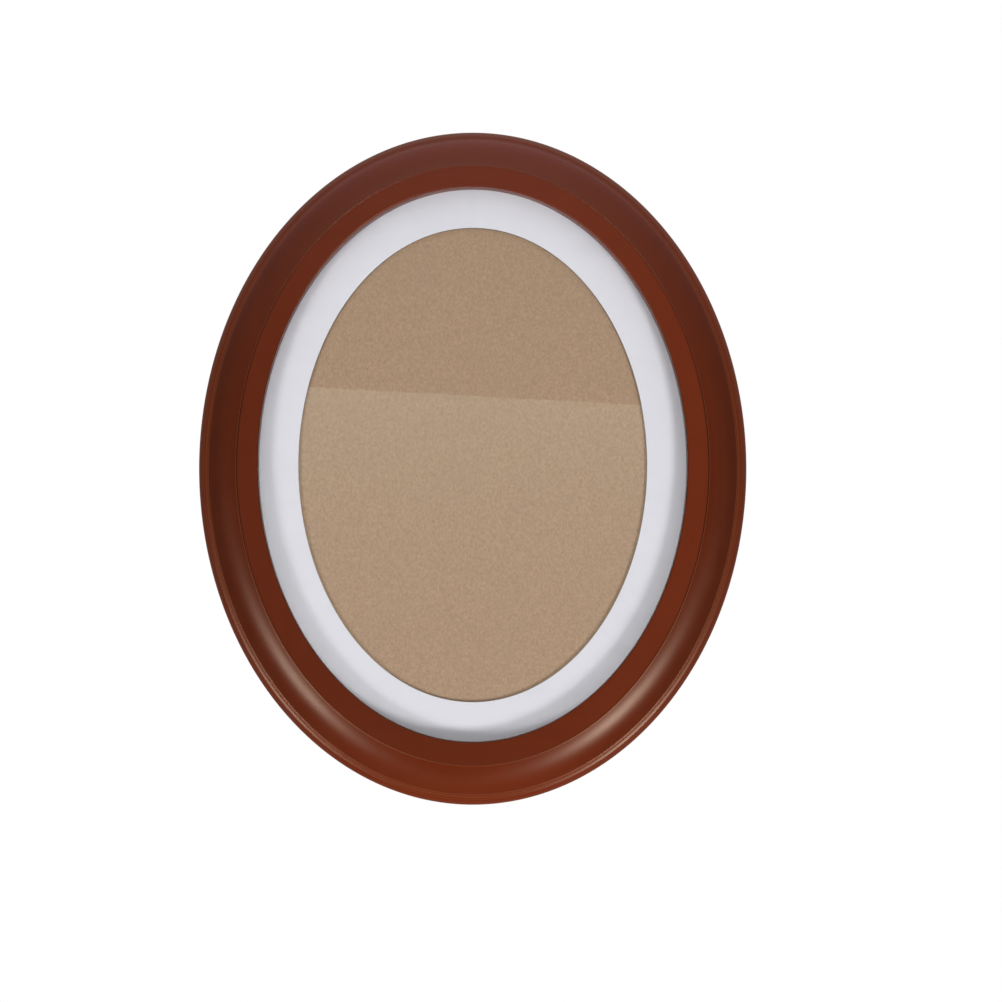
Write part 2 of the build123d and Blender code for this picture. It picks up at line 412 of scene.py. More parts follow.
def eased(runs, cuts, count=5):
    """Joins runs into one closed loop. Each run loses a short cut at its ends, and a small bend fills each
    corner. The second array is 1 on the bends and 0 on the runs."""
    points, corner_marks = [], []
    for place, run in enumerate(runs):
        steps, following = distances(run), runs[(place + 1) % len(runs)]
        begin, finish = cuts[place - 1], steps[-1] - cuts[place]
        inside = run[1:-1][(steps[1:-1] > begin) & (steps[1:-1] < finish)]
        corner = bend(along_run(run, finish), run[-1], along_run(following, cuts[place]), count)
        points += [along_run(run, begin)[None], inside, corner[:-1]]
        corner_marks += [np.zeros(1 + len(inside)), [0], np.ones(count - 2)]
    return np.concatenate(points), np.concatenate(corner_marks)


print("length of a run from 0, 0 to 3, 4:", distances(straight((0, 0), (3, 4)))[-1])

# %% [markdown]
# The runs go once round the section, from the outer edge of the back, over the face and down into the
# rabbet, and a list says how much each corner is cut. All of it is in millimetres, x from the outer edge
# inwards and y from the back forwards, as on a cutter's drawing.

# %% Draw the section
SIDE_DROP, CREST, CROWN = 5.5, (4.6, 12.92), (17.75, 15.7)
LIP_FOOT, LIP_FOOT_TURN = (2.4, 12.22), (0.0, 12.22 - 2.4 * np.tan(radians(35)))
QUIRK, QUIRK_FLOOR = (3.5, 12.60), (3.9, 12.50)  # the fine step that the cutter leaves beside the crest
BAND, BAND_START, FACE_WIDTH, SIGHT_EASE, RABBET = 15.2, 18.0, 27.4, 0.5, 22.4
LEDGE, BACK_EASE, SIDE_TOP = 8.8, 0.8, 15.7 - SIDE_DROP
runs = [
    straight((BACK_EASE, 0), (0, BACK_EASE)),
    straight((0, BACK_EASE), (0, SIDE_TOP)),
    bend(np.array((0, SIDE_TOP)), np.array(LIP_FOOT_TURN), np.array(LIP_FOOT), 14),
    straight(LIP_FOOT, QUIRK),
    straight(QUIRK, QUIRK_FLOOR),
    straight(QUIRK_FLOOR, CREST),
    hollow(CREST, CROWN, -26, 33, 48),
    straight(CROWN, (BAND_START, BAND)),
    np.array([(x, BAND) for x in (BAND_START, 18.6, 19.0, 26.3, FACE_WIDTH - SIGHT_EASE)]),
    straight((FACE_WIDTH - SIGHT_EASE, BAND), (FACE_WIDTH, BAND - SIGHT_EASE)),
    straight((FACE_WIDTH, BAND - SIGHT_EASE), (FACE_WIDTH, LEDGE)),
    straight((FACE_WIDTH, LEDGE), (RABBET, LEDGE)),
    straight((RABBET, LEDGE), (RABBET, 0)),
    straight((RABBET, 0), (BACK_EASE, 0)),
]
cuts = [0.2, 0.1, 0.12, 0.14, 0.14, 0.2, 0.26, 0.1, 0.2, 0.2, 0.1, 0.1, 0.1, 0.2]
section, section_corner = eased(runs, cuts)
across, up = section.T  # in millimetres, as drawn
section = section * MM
inset, height = section.T
in_rabbet = (across > RABBET - 0.3) & (across < FACE_WIDTH - 0.02) & (up < LEDGE + 0.02)
on_back = (across > BACK_EASE + 0.01) & (up < 0.02)
lacquered = np.where(in_rabbet | on_back, 0.0, 1.0)
print("section points:", len(section), "on eased corners:", int(section_corner.sum()))

# %% [markdown]
# ## Places along the oval
# The outline is an ellipse, and a place in the section lies its inset inwards from it and its height in
# front of the wood's back. Every piece uses these two steps, so each is a function.

# %% The outline and the wall's plane
def directions(vectors):
    """The directions of these vectors: each is divided by its length."""
    return vectors / np.linalg.norm(vectors, axis=-1, keepdims=True)


def outline(turns):
    """Points of the outline, and its inward directions, in the plane of the wall.
    A point is half the width times the cosine of the turn, and half the height times its sine.
    The inward direction is the outline's own direction, a quarter turn to the left."""
    points = np.stack([HALF_WIDTH * np.cos(turns), HALF_HEIGHT * np.sin(turns)], -1)
    along = directions(np.stack([-HALF_WIDTH * np.sin(turns), HALF_HEIGHT * np.cos(turns)], -1))
    return points, np.stack([-along[..., 1], along[..., 0]], -1)


def on_the_wall(flat, height):
    """Row-frame points from places in the wall's plane, round the oval's centre, and heights above the
    wood's back."""
    height = np.broadcast_to(height, flat.shape[:-1])
    return np.stack([flat[..., 0], BACK - height, CENTRE_HEIGHT + flat[..., 1]], -1)


right_hand, _ = outline(np.array([0.0]))
print("outline's right-hand point, mm:", (right_hand[0] / MM).round(1))

# %% [markdown]
# ## Marks on the wood
# Stain and lacquer are laid by hand and differ from place to place, and light and shade are painted over
# them too. The mesh carries that as marks, one value for each point: the wood's tone, a painted sheen on
# the top, how far edges are rubbed and lit by a painted highlight, and painted shade in the dark corners.
# Each is a product of one part that depends on the turn, through the inward direction, and one on the
# section.

# %% Mark for the wood's tone
LIGHTER_SIDE = radians(40)  # the side, counted from the right-hand one up, where the stain is thinner
at_crest = [int(np.abs(across - CREST[0]).argmin())]


def wood_tone(inward):
    """How light the wood's tone is at each turn and place in the section: 0.5 is the flat band's common
    tone.
    The wood grows lighter towards the frame's upper right, by the inward direction's part along that line,
    and the cove only 0.4 times as much. The cove drinks more of the stain on the two sides, by the square
    of the inward direction's sideways part, and is lighter at the bottom, by the square of its upward part.
    Both shares fade from the cove's outer slope to its inner one, and the lip has shares of its own."""
    sideways, upward = inward[:, :1] ** 2, np.clip(inward[:, 1:], 0, 1) ** 2
    lip = np.clip((CREST[0] + 0.2 - across) / 0.6, 0, 1)
    inner = np.clip((across - 7) / 7, 0, 1)
    cove = np.clip((CROWN[0] + 0.2 - across) / 0.3, 0, 1)
    in_cove = sideways * (0.21 * inner - 0.44) + upward * (0.34 - 0.22 * inner)
    on_lip = -0.14 * sideways + 0.3 * upward
    drift = 0.10 - 0.15 * (inward @ unit(LIGHTER_SIDE))[:, None]
    return 0.5 + drift + cove * (in_cove + lip * (on_lip - in_cove) - 0.6 * drift)


to_right = np.array([[-1.0, 0.0]])
print("stain at the crest on the right:", wood_tone(to_right)[0, at_crest].round(3))

# %% [markdown]
# The other marks lay painted light and shade over the stain, each in its own places: a pale painted sheen
# on the top, a painted highlight on the crisp corners, which cloths and hands also rub thin, and painted
# shade beside the glass and in the inner corners.

# %% Marks for the painted sheen, the rubbed and highlit corners and the painted shade
def painted_top_sheen(inward):
    """A painted reflection, a pale sheen on the frame's top: it grows with the square of the inward
    direction's downward part, is strongest at the crest and fades by a constant share with each step
    into the cove."""
    downward = np.clip(-inward[:, 1:], 0, 1) ** 2
    fade = 0.08 * np.exp(-np.clip(across - CREST[0], 0, 99) / 4) * np.clip((across - 3) / 1.6, 0, 1) + 0.018
    return downward * fade


def rubbed_and_highlit(inward):
    """How far the eased corners of the lip and the crown are rubbed thin and lightened as a painted
    highlight:
    least at the frame's top and most at the bottom. On the crown the painted highlight is strongest in the
    two lower quarters, by the square of twice sideways times upwards."""
    corners = np.where(across < FACE_WIDTH - 1.4, section_corner, 0.0)
    quarters = (2 * inward[:, :1] * np.maximum(inward[:, 1:], 0)) ** 2
    on_crown = across > (CREST[0] + CROWN[0]) / 2
    return corners * np.clip(0.75 + 0.6 * inward[:, 1:], 0.1, 1) * (1 + 1.25 * quarters * on_crown)


def painted_shade(inward):
    """Painted shade: on the wall above the glass, but less and less towards the frame's top, and in the foot
    of the small step on the two sides. It fades from the foot as a bell curve does."""
    foot = np.exp(-(((across - BAND_START) / 0.3) ** 2)) * (up < BAND + 0.3)
    wall = np.clip((across - FACE_WIDTH + 0.45) / 0.3, 0, 1) * (up > LEDGE - 0.02)
    lower_wall = wall * np.clip(1 + 1.6 * inward[:, 1:], 0, 1)
    return np.clip(0.9 * inward[:, :1] ** 4 * foot + 0.85 * lower_wall, 0, 1)


print("rubbed at most, on the right:", rubbed_and_highlit(to_right).max().round(3))

# %% [markdown]
# ## The four segments
# The ring is glued up from four curved segments, so that nowhere does the grain run straight across it.
# Each carries the section along a quarter of the oval. Its ends are flat, with a pocket for half of the
# spline that strengthens the glued joint.

# %% Carry the section along the oval
def off_centre(inward):
    """How much further the lip over the glass reaches inwards than its section says. Its cutter ran a
    little high, so this is 0.45 mm and 0.75 mm times the upward part of the inward direction, and never
    less than nothing."""
    at_lip = (across > FACE_WIDTH - 0.8) & (up > LEDGE - 0.02)
    return np.clip(0.45 + 0.75 * inward[:, 1:], 0, None) * at_lip * MM


POCKET = np.array([(5.9, 7.6), (16.1, 7.6), (16.1, 4.4), (5.9, 4.4)]) * MM  # its corners in the section
POCKET_DEPTH = 8.1 * MM


def segment(name, first, last, steps=150):
    """A ring segment: a grid of the section at each turn, two flat ends, and a pocket in each end.
    A grid point lies its inset, and what the lip is off centre, inwards from the outline, and its height in
    front of the wood's back."""
    start, stop = JOINT_TURNS[first], JOINT_TURNS[last]
    turns = np.linspace(start, stop if stop > start else stop + 2 * pi, steps)
    edge, inward = outline(turns)
    reach = inset + off_centre(inward)
    flat = edge[:, None] + reach[..., None] * inward[:, None]
    points = [on_the_wall(flat, section[None, :, 1]).reshape(-1, 3)]
    count = len(section)
    faces = grid_faces(steps, count, columns_close=True)
    for row, sense, base in ((0, 1, steps * count), (steps - 1, -1, steps * count + 8)):
        along = sense * np.array([inward[row, 1], -inward[row, 0]])
        mouth = edge[row] + POCKET[:, :1] * inward[row]
        bottom = mouth + POCKET_DEPTH * along
        points += [on_the_wall(mouth, POCKET[:, 1]), on_the_wall(bottom, POCKET[:, 1])]
        numbers = [*range(row * count, (row + 1) * count), *range(base, base + 4)]
        faces += filled((section, POCKET), numbers)
        faces += grid_faces(2, 4, base, columns_close=True)
        faces.append(list(range(base + 4, base + 8)))
    grids = {
        "rubbed_and_highlit": rubbed_and_highlit(inward),
        "painted_shade": painted_shade(inward),
        "lacquered": np.tile(lacquered, (steps, 1)),
        "wood_tone": wood_tone(inward),
        "painted_top_sheen": painted_top_sheen(inward),
    }
    in_pockets = np.zeros(4 * len(POCKET))
    marks = {mark: np.concatenate([grid.ravel(), in_pockets]) for mark, grid in grids.items()}
    return make_piece(
        name + "_wood", np.concatenate(points), faces, "frame", [name], marks
    )


segments = {
    side: segment(f"frame_{side}", CORNERS[place], CORNERS[(place + 1) % 4])
    for place, side in enumerate(("top", "left", "bottom", "right"))
}

# %% [markdown]
# ## The mat
# A mat is paper-faced board, 1.5 mm thick, with an oval opening cut straight through it. The cut shows the
# board's grey-brown core as a thin dark line, so the faces of the cut get a material of their own.

# %% Make the mat
OPENING, PANE = np.array([81.5, 111.5]) * MM, np.array([104.3, 134.3]) * MM  # half widths and half heights
OPENING_RISE = 0.5 * MM
MAT_EASE = 0.06 * MM


def between_ovals(low, high, ease, steps=360):
    """A flat ring between two ovals: at each turn a loop goes along the front, down the outside, back, and
    up the cut. A place across it is the inner oval's point plus a share of the way to the outer oval's
    point. The last array is 1 on the faces of the cut and the outer edge."""
    circle = unit(np.linspace(0, 2 * pi, steps, endpoint=False))
    inside, outside = circle * OPENING + [0, OPENING_RISE], circle * PANE
    width = PANE[0] - OPENING[0]
    front = [(0, high - ease), (0.3 * ease, high - 0.3 * ease), (ease, high), (width - ease, high)]
    rear = [(width, high - ease), (width, low + ease), (width - ease, low), (ease, low), (0, low + ease)]
    loop = np.array(front + rear)
    flat = inside[:, None] + loop[:, :1] / width * (outside - inside)[:, None]
    points = on_the_wall(flat, loop[None, :, 1]).reshape(-1, 3)
    faces = grid_faces(steps, len(loop), rows_close=True, columns_close=True)
    return points, faces, np.tile([1, 0, 0, 0, 1, 0, 0, 0, 1], steps)


mat_points, mat_faces, cut_faces = between_ovals(BOARD_FRONT, MAT_FRONT, MAT_EASE)
mat_piece = make_piece("white_mat_board", mat_points, mat_faces, "frame", ["white_mat"])
print("mat faces that show the core:", int(cut_faces.sum()))

# %% [markdown]
# ## Stamped metal
# Turn buttons and hanger plates are stamped from sheet and tumbled, which rounds every edge. One function
# makes them all: each edge loop, outer rim or hole, is carried through the sheet's thickness, drawn in a
# little where it meets the two faces, and flat faces close it.

# %% Helper for stamped sheet
def stamped(loops, thickness, ease, place):
    """Points, faces and edge marks of a sheet of metal. A loop is points and the directions out of the
    metal. At each station it is moved into the metal by the ease times one less the sine of an angle, and
    raised by the ease times one less its cosine, and the same again mirrored at the other face. An edge
    mark is four times the share of the way round the bend, times what is left of it. place sets flat points
    and heights in the model."""
    quarter = np.linspace(0, pi / 2, 5)
    into = np.concatenate([ease * (1 - np.sin(quarter)), ease * (1 - np.cos(quarter))])
    rise = np.concatenate([ease * (1 - np.cos(quarter)), thickness - ease * (1 - np.sin(quarter))])
    share = np.linspace(0, 1, 5)
    on_edge = np.tile(4 * share * (1 - share), 2)
    points, faces, marks, rings = [], [], [], []
    first = 0
    for edge, out in loops:
        grid = edge[None] - into[:, None, None] * out[None]
        points.append(place(grid, rise[:, None] * np.ones(len(edge))).reshape(-1, 3))
        faces += grid_faces(len(into), len(edge), first, columns_close=True)
        marks.append(np.repeat(on_edge, len(edge)))
        rings.append((first, grid))
        first += len(into) * len(edge)
    for station in (0, len(into) - 1):
        numbers = []
        for start, grid in rings:
            size = grid.shape[1]
            numbers += range(start + station * size, start + (station + 1) * size)
        faces += filled([grid[station] for _, grid in rings], numbers)
    return np.concatenate(points), faces, np.concatenate(marks)


def round_hole(centre, radius, count=48):
    """A hole's loop: the metal lies outside it, so the direction out of the metal is towards its centre."""
    direction = unit(np.linspace(0, 2 * pi, count, endpoint=False))
    return np.array(centre) + radius * direction, -direction


print("points round a hole:", len(round_hole((0, 0), MM)[0]))

# %% [markdown]
# ## Turn buttons
# A turn button is a drop-shaped plate. Its rim is a large arc round the screw, a small arc at the tip and
# the two lines that touch both. Seen by the direction that the rim faces, that is simple: up to a certain
# angle the point lies on the small circle, and past it on the large one.

# %% Make the turn buttons
HUB_RADIUS, TIP_RADIUS, REACH = 5.5 * MM, 3.0 * MM, 11.5 * MM
BUTTON_THICKNESS, BUTTON_INSET = 1.2 * MM, 15.5 * MM
BUTTON_HOLE, BUTTON_EASE = 1.33 * MM, 0.22 * MM
SIDES = ("right", "upper_right", "upper_left", "left", "lower_left", "lower_right")
BUTTON_TURNS = {side: place * pi / 3 for place, side in enumerate(SIDES)}


def drop_rim(count=120):
    """The drop's rim: a circle's centre plus its radius times the direction, with the tip's circle for
    directions near the reach and the hub's for the rest. They change over where the touching lines face."""
    change = acos((HUB_RADIUS - TIP_RADIUS) / REACH)
    tip = np.linspace(-change, change, count // 3)
    hub = np.linspace(change, 2 * pi - change, count - count // 3)
    direction = unit(np.concatenate([tip, hub]))
    at_tip = (np.arange(count) < len(tip))[:, None]
    centres = np.where(at_tip, [[REACH, 0]], [[0, 0]])
    return centres + np.where(at_tip, TIP_RADIUS, HUB_RADIUS) * direction, direction


def seat(turn, inset):
    """A seat on the wood's back: its centre in the wall's plane, and the inward direction there."""
    edge, inward = outline(np.array([turn]))
    return edge[0] + inset * inward[0], inward[0]


def seated(centre, forward):
    """A function that lays flat points, x along forward, on the wood's back at this centre, rising to the
    wall."""
    aside = np.array([-forward[1], forward[0]])

    def place(flat, rise):
        return on_the_wall(centre + flat[..., :1] * forward + flat[..., 1:2] * aside, -rise)

    return place


buttons = []
for side, turn in BUTTON_TURNS.items():
    centre_point, inward = seat(turn, BUTTON_INSET)
    loops = [drop_rim(), round_hole((0, 0), BUTTON_HOLE)]
    points, faces, marks = stamped(loops, BUTTON_THICKNESS, BUTTON_EASE, seated(centre_point, inward))
    name, body = f"turn_button_{side}", f"button_{side}"
    buttons.append(make_piece(name + "_zinc", points, faces, body, [name], {"rubbed_and_highlit": marks}))
print("turn buttons:", len(buttons))

# %% [markdown]
# ## Wood screws
# A screw is turned round its axis, but two things break the symmetry: the cross recess in the head and the
# thread. Both are written as a change to the turned shape that depends on the angle too.

# %% The shape of one screw
HEAD_RADIUS, HEAD_RIM, HEAD_HEIGHT = 2.6 * MM, 0.5 * MM, 1.6 * MM
SHANK, CORE, SCREW_LENGTH, TIP_LENGTH, PITCH = 1.25 * MM, 0.86 * MM, 10.0 * MM, 2.0 * MM, 1.15 * MM
ARM_WIDTH, ARM_REACH, RECESS_DEPTH = 0.7 * MM, 1.5 * MM, 0.9 * MM
ARM_LINES = 0.55  # the share of the lines that lie inside an arm


def screw_shape(around=72):
    """Points, faces and recess marks of one screw along z, the underside of its head at zero.
    Head: the height is that of the rim plus a dome, which falls as a power of the distance from the axis,
    less the recess. In each quarter of a turn, lines are numbered from -1 to 1 across an arm of the
    recess. Those inside the arm share out the angle to its edge, whose sine is half the arm's width over
    the distance from the axis, and the others share out the rest, so lines follow the edges. Near the rim
    they are even again.
    Shank: the radius is the core's plus a ridge that climbs one pitch each turn, and both shrink to the
    point."""
    angle = np.linspace(0, 2 * pi, around, endpoint=False)
    steps = [np.linspace(0.1, 0.5, 5), np.linspace(0.58, 1.44, 9), np.linspace(1.54, 2.6, 15)]
    out = MM * np.concatenate(steps)[:, None]
    quarter, line = np.divmod(np.arange(around), around // 4)
    line = (line + 0.5) / (around // 8) - 1
    even = ARM_LINES * pi / 4
    near_edge = np.arcsin(np.clip(ARM_WIDTH / 2 / out, 0, 0.62))
    edge = even + (near_edge - even) * np.clip((2.3 * MM - out) / (0.6 * MM), 0, 1)
    far = np.abs(line)
    rest = np.maximum((far - ARM_LINES) / (1 - ARM_LINES), 0)
    within = edge * np.minimum(far / ARM_LINES, 1) + (pi / 4 - edge) * rest
    bent = quarter * pi / 2 + np.sign(line) * within
    in_arm = ((far < ARM_LINES) | (out < 0.54 * MM)) & (out < ARM_REACH)
    dome = HEAD_RIM + (HEAD_HEIGHT - HEAD_RIM) * (1 - (out / HEAD_RADIUS) ** 3.2) ** 0.62
    recess = in_arm * np.minimum(RECESS_DEPTH - 0.16 * MM * (out / MM) ** 2, dome - 0.2 * MM)
    head = np.concatenate([out[..., None] * unit(bent), (dome - recess)[..., None]], -1)
    below = np.linspace(HEAD_RADIUS, SHANK, 4)[:, None, None] * unit(angle)
    underside = np.concatenate([below, np.zeros((4, around, 1))], -1)
    down = np.linspace(0, SCREW_LENGTH - 0.02 * MM, 74)[1:, None]
    ridge = np.abs(((down / PITCH - angle / (2 * pi)) % 1) - 0.5) * 2
    ridge = np.clip(1 - ridge * 2.2, 0, 1) * np.clip((down - 2.2 * MM) / (0.8 * MM), 0, 1)
    plain = np.clip((2.6 * MM - down) / (0.5 * MM), 0, 1)
    width = CORE + (SHANK - CORE) * np.maximum(ridge, plain)
    width = width * np.clip((SCREW_LENGTH - down) / TIP_LENGTH, 0, 1) ** 0.7
    lower = np.broadcast_to(-down, width.shape)[..., None]
    shank = np.concatenate([width[..., None] * unit(angle), lower], -1)
    rows = np.concatenate([head, underside, shank])
    poles = [[0, 0, HEAD_HEIGHT - RECESS_DEPTH], [0, 0, -SCREW_LENGTH]]
    points = np.concatenate([rows.reshape(-1, 3), poles])
    sunk = np.concatenate([in_arm.ravel(), np.zeros(len(points) - in_arm.size - 2), [1, 0]])
    count, last = len(points), (len(rows) - 1) * around
    faces = grid_faces(len(rows), around, columns_close=True)
    faces += fan_faces(0, around, count - 2) + fan_faces(last, around, count - 1)
    return points, faces, sunk


print("points of one screw:", len(screw_shape()[0]))

# %% [markdown]
# All the screws are alike, so the shape is copied to each seat. Only how far each was driven differs, and
# so the cross in its head points its own way.

# %% Drive the buttons' screws
def screws(name, stands_for, seats, lift):
    """One piece of several screws, each on its seat with its head to the wall, turned by chance as when
    driven."""
    chance = np.random.default_rng(7)
    shape, shape_faces, sunk = screw_shape()
    points, faces = [], []
    for number, (centre_point, forward) in enumerate(seats):
        twist = chance.uniform(0, pi / 2)
        driven = shape[:, :2] @ unit(np.array([twist, twist + pi / 2]))
        points.append(seated(centre_point, forward)(driven, shape[:, 2] + lift))
        faces += [[corner + number * len(shape) for corner in face] for face in shape_faces]
    points, marks = np.concatenate(points), {"sunk": np.tile(sunk, len(seats))}
    return make_piece(name, points, faces, "frame", [stands_for], marks, sharp=40)


button_seats = [seat(turn, BUTTON_INSET) for turn in BUTTON_TURNS.values()]
button_screw_piece = screws(
    "button_screws_zinc", "button_screws", button_seats, BUTTON_THICKNESS
)

# %% [markdown]
# ## The hanger
# The hanger is a small stamped plate with a strap raised over the ring's straight side, and a D-shaped
# ring of round wire. The strap is an arch, so it is the same stamped shape laid on its side, and the ring
# is a circle carried along a closed path.

# %% Helpers for the plate and the strap
PLATE_LENGTH, PLATE_WIDTH, PLATE_THICKNESS, PLATE_CORNER = 30 * MM, 8 * MM, 0.7 * MM, 2.5 * MM
PLATE_EASE, PLATE_HOLE, PLATE_HOLE_OUT = 0.14 * MM, 1.4 * MM, 11 * MM
STRAP_LENGTH, STRAP_INSIDE, STRAP_OUTSIDE, STRAP_EASE = 6 * MM, 0.85 * MM, 1.55 * MM, 0.12 * MM
HANGER_INSET, RING_LIFT = 17.2 * MM, 1.55 * MM
hanger_seat = (np.array([0.0, HALF_HEIGHT - HANGER_INSET]), np.array([-1.0, 0.0]))


def rounded_rectangle(length, width, corner, count=16):
    """A rectangle's rim with round corners: each corner's centre plus its radius times a quarter circle of
    directions."""
    quarters = [np.linspace(start, start + pi / 2, count) for start in (0, pi / 2, pi, 3 * pi / 2)]
    direction = unit(np.concatenate(quarters))
    sign = np.repeat([[1, 1], [-1, 1], [-1, -1], [1, -1]], count, axis=0)
    return sign * np.array([length / 2 - corner, width / 2 - corner]) + corner * direction, direction


def arch_rim(inner, outer, foot, count=24):
    """The end view of the strap: up one outer leg, over the outer half circle, down, and back inside.
    The directions out of the metal are outwards on the outer half and inwards on the inner half."""
    over, x = unit(np.linspace(0, pi, count)), np.array([[1.0, 0.0]])
    direction = np.concatenate([x, over, -x, x, -over[::-1], -x])
    outer_edge = [[[outer, foot]], outer * over, [[-outer, foot]]]
    inner_edge = [[[-inner, foot]], inner * over[::-1], [[inner, foot]]]
    return np.concatenate(outer_edge + inner_edge), direction


def across_strap(flat, along):
    """Lays the strap's end view: flat x up the wall and flat y towards the wall, from the ring's axis."""
    place_up = CENTRE_HEIGHT + HALF_HEIGHT - HANGER_INSET + flat[..., 0]
    place_along = np.broadcast_to(along, flat.shape[:-1]) - STRAP_LENGTH / 2
    return np.stack([place_along, BACK + RING_LIFT + flat[..., 1], place_up], -1)


print("strap's width outside, mm:", round(2 * STRAP_OUTSIDE / MM, 2))

# %% [markdown]
# Plate and strap are one stamping, so they are one piece: the strap's points are numbered on from the
# plate's. Two screws hold it, through a hole on each side of the strap.

# %% Make the hanger
plate_loops = [rounded_rectangle(PLATE_LENGTH, PLATE_WIDTH, PLATE_CORNER)]
plate_loops += [round_hole((side * PLATE_HOLE_OUT, 0), PLATE_HOLE) for side in (-1, 1)]
points, faces, marks = stamped(plate_loops, PLATE_THICKNESS, PLATE_EASE, seated(*hanger_seat))
strap_loop = arch_rim(STRAP_INSIDE, STRAP_OUTSIDE, PLATE_THICKNESS - RING_LIFT)
strap_points, strap_faces, strap_marks = stamped([strap_loop], STRAP_LENGTH, STRAP_EASE, across_strap)
faces += [[corner + len(points) for corner in face] for face in strap_faces]
points, marks = np.concatenate([points, strap_points]), {"rubbed_and_highlit": np.concatenate([marks, strap_marks])}
hanger_piece = make_piece(
    "hanger_plate_brass", points, faces, "frame", ["hanger_plate"], marks
)
middle, forward = hanger_seat
hanger_seats = [(middle + side * PLATE_HOLE_OUT * forward, forward) for side in (-1, 1)]
hanger_screw_piece = screws(
    "hanger_screws_brass", "hanger_screws", hanger_seats, PLATE_THICKNESS
)

# %% [markdown]
# The ring is bent from brass-plated wire into a D, and its straight side runs through the strap. A wire is
# a circle carried along its centre line, square to it, so only the line needs drawing: two small corners,
# two legs and a half circle.

# %% Make the ring
WIRE, WIRE_SIDES = 0.7 * MM, 28


def ring_path(half=6.7 * MM, leg=4.0 * MM, corner=1.6 * MM):
    """The ring's centre line, from its straight side. A corner is its centre plus its radius times the
    directions from below to the side, and the top is the end of the legs plus half the width times those
    of a half circle."""
    low_right = [half - corner, corner] + corner * unit(np.linspace(-pi / 2, 0, 12))
    top = [0, leg] + half * unit(np.linspace(0, pi, 90))
    return np.concatenate([low_right, top, low_right[::-1] * [-1, 1]])


path_points = ring_path()
ahead = directions(np.roll(path_points, -1, axis=0) - path_points)
tangent = directions(ahead + np.roll(ahead, 1, axis=0))
normal = np.stack([tangent[:, 1], -tangent[:, 0]], -1)
in_plane, outwards = WIRE * unit(np.linspace(0, 2 * pi, WIRE_SIDES, endpoint=False)).T
flat = path_points[:, None] + in_plane[None, :, None] * normal[:, None] + [0, HALF_HEIGHT - HANGER_INSET]
points = on_the_wall(flat, -RING_LIFT - outwards).reshape(-1, 3)
faces = grid_faces(len(path_points), WIRE_SIDES, rows_close=True, columns_close=True)
ring_piece = make_piece("hanger_ring_brass", points, faces, "ring", ["hanger_ring"])

# %% [markdown]
# ## Bumpers
# The bumpers are moulded rubber pads: a slight draft on the side, a round shoulder, and a shallow dish in
# the middle of the face, all of it one profile turned round an axis.

# %% Make the bumpers
BUMPER_INSET = 12.5 * MM
BUMPER_SHARES = {"left": 0.589, "right": 0.911}  # of the way round the oval, from its right-hand side up


def turned(profile, centre_point, around=72):
    """A profile of radii and heights turned round a seat's axis, with one point where it meets the axis at
    each end. A point is the radius times the direction of its angle, at its height."""
    flat = unit(np.linspace(0, 2 * pi, around, endpoint=False)) * profile[1:-1, :1, None]
    rise = np.broadcast_to(profile[1:-1, 1:], flat.shape[:-1])
    place = seated(centre_point, np.array([1.0, 0.0]))
    points = np.concatenate([place(flat, rise).reshape(-1, 3), place(np.zeros((2, 2)), profile[[0, -1], 1])])
    rows = len(profile) - 2
    faces = grid_faces(rows, around, columns_close=True) + fan_faces(0, around, rows * around)
    return points, faces + fan_faces((rows - 1) * around, around, rows * around + 1)


bumper_side = [(0, 0), (2.5, 0), (4.9, 0), (5.0, 0.12), (4.98, 1.4), (4.94, 2.6)]
bumper_shoulder = [4.1, 2.7] + [0.82, 0.8] * unit(np.linspace(0, pi / 2, 9))[1:]
bumper_face = [(3.4, 3.5), (3.1, 3.46), (2.6, 3.36), (1.6, 3.3), (0.8, 3.28), (0, 3.28)]
bumper_profile = np.concatenate([bumper_side, bumper_shoulder, bumper_face])
bumpers = []
for side, share in BUMPER_SHARES.items():
    spot, _ = seat(2 * pi * share, BUMPER_INSET)
    points, faces = turned(bumper_profile * MM, spot)
    name = f"wall_bumper_{side}"
    bumpers.append(make_piece(name + "_rubber", points, faces, "frame", [name]))
print("bumpers:", len(bumpers))

# %% [markdown]
# ## Shared effects
# Effects that several materials use are node groups, built once. Each puts out only values, which the
# materials turn into colour, roughness and bump.

# %% Helper for node groups
def effect(name, settings, outputs):
    """A new shader node group, with its input and output nodes. Its first input is the vector, and
    settings gives the name and the usual value of each other one."""
    made = bpy.data.node_groups.new(name, "ShaderNodeTree")
    made.interface.new_socket("Vector", in_out="INPUT", socket_type="NodeSocketVector")
    for socket, usual in settings.items():
        entry = made.interface.new_socket(socket, in_out="INPUT", socket_type="NodeSocketFloat")
        entry.default_value = usual
    for socket in outputs:
        made.interface.new_socket(socket, in_out="OUTPUT", socket_type="NodeSocketFloat")
    return made, made.nodes.new("NodeGroupInput"), made.nodes.new("NodeGroupOutput")


def stretched(tree, vector, scale):
    """The vector with each part multiplied."""
    mapping = node(tree, "ShaderNodeMapping")
    link(tree, vector, mapping.inputs["Vector"])
    mapping.inputs["Scale"].default_value = scale
    return mapping.outputs[0]


def noise(tree, vector, scale, detail=2.0, roughness=0.5, distortion=0.0):
    """A noise texture's value."""
    made = node(tree, "ShaderNodeTexNoise")
    link(tree, vector, made.inputs["Vector"])
    settings = {"Detail": detail, "Roughness": roughness, "Distortion": distortion}
    for name, value in settings.items():
        made.inputs[name].default_value = value
    give(tree, scale, made.inputs["Scale"])
    return made.outputs["Fac"]


